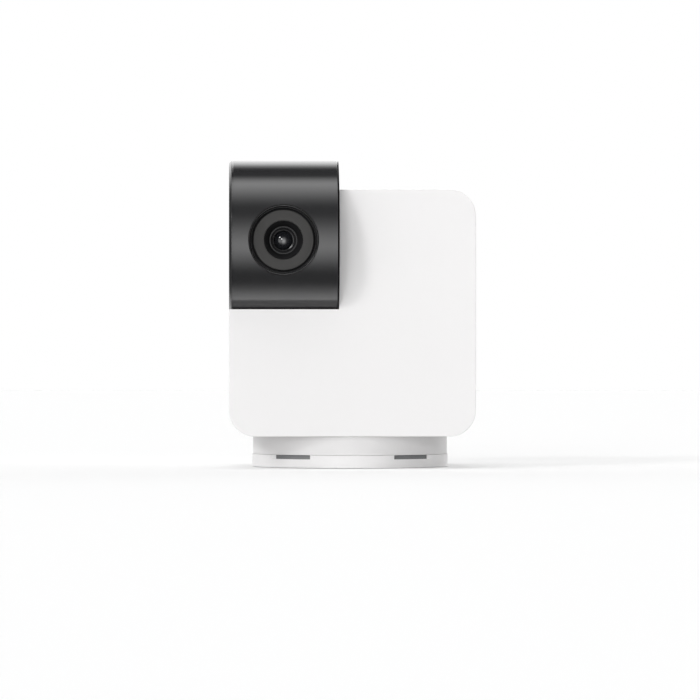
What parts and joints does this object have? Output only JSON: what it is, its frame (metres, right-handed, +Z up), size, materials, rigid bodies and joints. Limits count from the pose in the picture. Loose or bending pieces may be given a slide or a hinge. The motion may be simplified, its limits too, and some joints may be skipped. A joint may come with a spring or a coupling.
{
  "type": "pet camera",
  "caption": "Pan and tilt pet camera: rounded square body on a round foot, with a glossy roller in its upper corner that carries the lens.",
  "frame": {"origin": "middle of the foot pad's underside, on the pan axis", "axes": "+Z up along the pan axis, -Y the way the body's front faces at rest, +X to the right of a viewer who faces the front"},
  "size_m": [0.079, 0.0772, 0.099],
  "materials": {
    "white_shell": "fine matt moulded white",
    "gloss_black": "polished moulded black",
    "satin_black": "satin black",
    "smoked_window": "satin dark grey, lets infrared through",
    "lens_glass": "coated, polished",
    "black_plastic": "fine matt moulded black",
    "white_acetal": "natural acetal",
    "grey_plastic": "moulded grey",
    "steel": "bright",
    "brass": "turned",
    "circuit_board": "green solder resist",
    "rubber": "matt",
    "led_resin": "clear dark resin"
  },
  "bodies": {
    "base": {"foot_pad": "rubber", "base_cover": "white_shell", "base_shell": "white_shell", "glide_ring": "white_acetal", "ballast_plate": "steel", "speaker_frame": "black_plastic", "speaker_cone": "rubber", "power_board": "circuit_board", "power_socket": "steel", "reset_switch": "black_plastic", "base_screw_1": "steel", "base_screw_2": "steel", "base_screw_3": "steel", "base_screw_4": "steel", "pan_hub": "grey_plastic", "pan_gear": "white_acetal", "pan_clip": "steel"},
    "button": {"reset_button": "black_plastic"},
    "body": {"front_shell": "white_shell", "rear_shell": "white_shell", "chassis": "grey_plastic", "pan_bush": "white_acetal", "tilt_bush": "white_acetal", "pan_motor": "steel", "tilt_motor": "steel", "main_board": "circuit_board", "shield_can": "steel", "antenna": "circuit_board", "microphone": "rubber", "shell_screw_1": "steel", "shell_screw_2": "steel", "chassis_screw_1": "steel", "chassis_screw_2": "steel", "pan_motor_screw_1": "steel", "pan_motor_screw_2": "steel", "tilt_motor_screw_1": "steel", "tilt_motor_screw_2": "steel", "board_screw_1": "steel", "board_screw_2": "steel"},
    "head": {"roller_front": "gloss_black", "roller_rear": "gloss_black", "roller_end_cap": "gloss_black", "tilt_hub": "grey_plastic", "tilt_gear": "white_acetal", "tilt_clip": "steel", "lens_bezel": "satin_black", "face_window": "smoked_window", "lens_barrel": "black_plastic", "front_lens": "lens_glass", "rear_lens": "lens_glass", "lens_holder": "black_plastic", "sensor_board": "circuit_board", "infrared_board": "circuit_board", "infrared_led_1": "led_resin", "infrared_led_2": "led_resin"},
    "pan_drive": {"pan_pinion": "brass", "pan_motor_shaft": "steel"},
    "tilt_drive": {"tilt_pinion": "brass", "tilt_motor_shaft": "steel"}
  },
  "joints": [
    {"name": "pan", "type": "hinge", "parent": "base", "child": "body", "pos_m": [0, 0, 0], "axis": [0, 0, 1], "range_deg": [-175, 175]},
    {"name": "tilt", "type": "hinge", "parent": "body", "child": "head", "pos_m": [-0.02215, -0.0182, 0.073], "axis": [-1, 0, 0], "range_deg": [-25, 90]},
    {"name": "pan_drive", "type": "hinge", "parent": "body", "child": "pan_drive", "pos_m": [0, 0.018, 0.016], "axis": [0, 0, 1], "range_deg": [-700, 700]},
    {"name": "tilt_drive", "type": "hinge", "parent": "body", "child": "tilt_drive", "pos_m": [0.001, -0.00573, 0.0658], "axis": [1, 0, 0], "range_deg": [-100, 300]},
    {"name": "reset", "type": "slide", "parent": "base", "child": "button", "axis": [0, -1, 0], "range_m": [0, 0.0004], "stiffness_N_per_m": 800, "springref_m": -0.0002}
  ],
  "couplings": [
    {"joint": "pan_drive", "follows": "pan", "ratio": 4},
    {"joint": "tilt_drive", "follows": "tilt", "ratio": 3}
  ]
}
